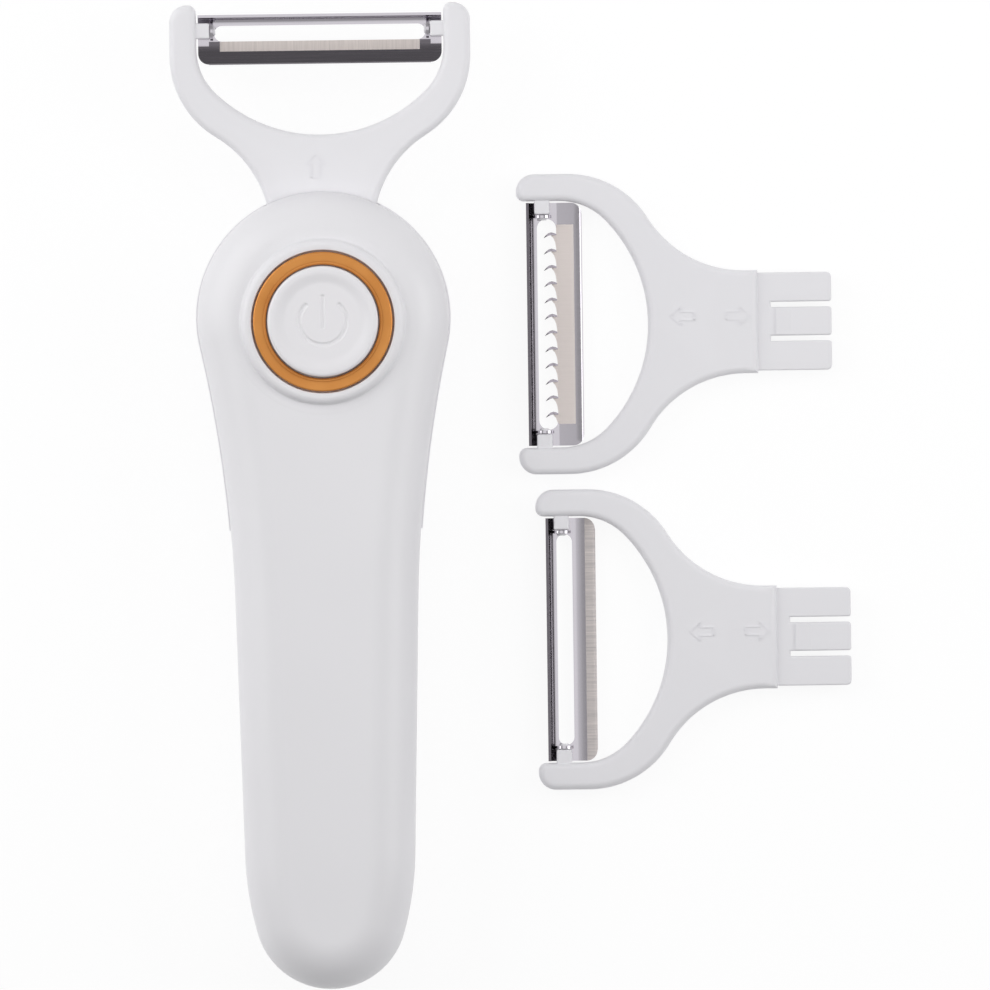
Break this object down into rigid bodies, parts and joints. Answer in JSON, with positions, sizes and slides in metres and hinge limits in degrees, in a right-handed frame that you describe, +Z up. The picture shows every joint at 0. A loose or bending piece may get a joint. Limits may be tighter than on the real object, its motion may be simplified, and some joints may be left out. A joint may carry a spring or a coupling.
{
  "type": "electric potato peeler",
  "caption": "Cordless vibrating peeler with an egg-ended white handle, copper-ringed power button and forked swivel-blade head, with toothed and plain spare heads.",
  "frame": {"origin": "on the surface that the peeler lies on, straight under the middle of the power button", "axes": "+Z up through the button, +Y along the handle towards the fitted blade, +X to the right seen from the button side"},
  "size_m": [0.1485, 0.2167, 0.0326],
  "materials": {
    "shell": "soft white ABS",
    "button": "soft white ABS",
    "frame": "soft white ABS",
    "inner_plastic": "white ABS",
    "black_plastic": "moulded",
    "ring": "satin copper tone",
    "board": "circuit board",
    "can": "plated",
    "steel": "plain",
    "brass": "turned",
    "cell": "sleeved cell",
    "contact": "nickel plated",
    "screw": "zinc plated",
    "blade": "polished stamped steel"
  },
  "bodies": {
    "handle": {"front_shell": "shell", "back_shell": "shell", "battery_tray": "inner_plastic", "accent_ring": "ring", "switch_board": "board", "power_switch": "black_plastic", "head_socket": "inner_plastic", "motor_can": "can", "motor_end_cap": "black_plastic", "motor_clamp": "steel", "battery_cell_1": "cell", "battery_cell_2": "cell", "front_contacts": "contact", "bridge_contact": "contact", "rear_spring": "contact", "front_spring": "contact", "shell_screws": "screw", "tray_screws": "screw", "board_screws": "screw", "clamp_screws": "screw"},
    "door": {"battery_door": "shell"},
    "button": {"power_button": "button"},
    "plunger": {"switch_plunger": "black_plastic"},
    "rotor": {"motor_shaft": "steel", "eccentric_weight": "brass"},
    "fitted_head": {"head_frame": "frame"},
    "fitted_blade": {"head_blade": "blade"},
    "toothed_spare": {"toothed_spare_frame": "frame"},
    "toothed_blade": {"toothed_spare_blade": "blade"},
    "plain_spare": {"plain_spare_frame": "frame"},
    "plain_blade": {"plain_spare_blade": "blade"}
  },
  "joints": [
    {"name": "head_release", "type": "slide", "parent": "handle", "child": "fitted_head", "axis": [0, 1, 0], "range_m": [0, 0.035]},
    {"name": "blade_swivel", "type": "hinge", "parent": "fitted_head", "child": "fitted_blade", "pos_m": [0, 0.06435, 0.015], "axis": [1, 0, 0], "range_deg": [-15, 15]},
    {"name": "battery_door_slide", "type": "slide", "parent": "handle", "child": "door", "axis": [0, -1, 0], "range_m": [0, 0.105]},
    {"name": "button_press", "type": "slide", "parent": "handle", "child": "button", "axis": [0, 0, -1], "range_m": [0, 0.0015], "stiffness_N_per_m": 800, "springref_m": -0.0003},
    {"name": "plunger_press", "type": "slide", "parent": "handle", "child": "plunger", "axis": [0, 0, -1], "range_m": [0, 0.0015]},
    {"name": "motor_spin", "type": "hinge", "parent": "handle", "child": "rotor", "pos_m": [0, -0.014, 0.0129], "axis": [0, 1, 0], "continuous": true},
    {"name": "toothed_spare_lift", "type": "slide", "parent": "handle", "child": "toothed_spare", "axis": [0, 0, 1], "range_m": [0, 0.05]},
    {"name": "toothed_blade_swivel", "type": "hinge", "parent": "toothed_spare", "child": "toothed_blade", "pos_m": [0.0484, -0.001, 0.003], "axis": [0, 1, 0], "range_deg": [-15, 15]},
    {"name": "plain_spare_lift", "type": "slide", "parent": "handle", "child": "plain_spare", "axis": [0, 0, 1], "range_m": [0, 0.05]},
    {"name": "plain_blade_swivel", "type": "hinge", "parent": "plain_spare", "child": "plain_blade", "pos_m": [0.0518, -0.0706, 0.003], "axis": [0, 1, 0], "range_deg": [-15, 15]}
  ],
  "couplings": [
    {"joint": "plunger_press", "follows": "button_press", "ratio": 1}
  ]
}
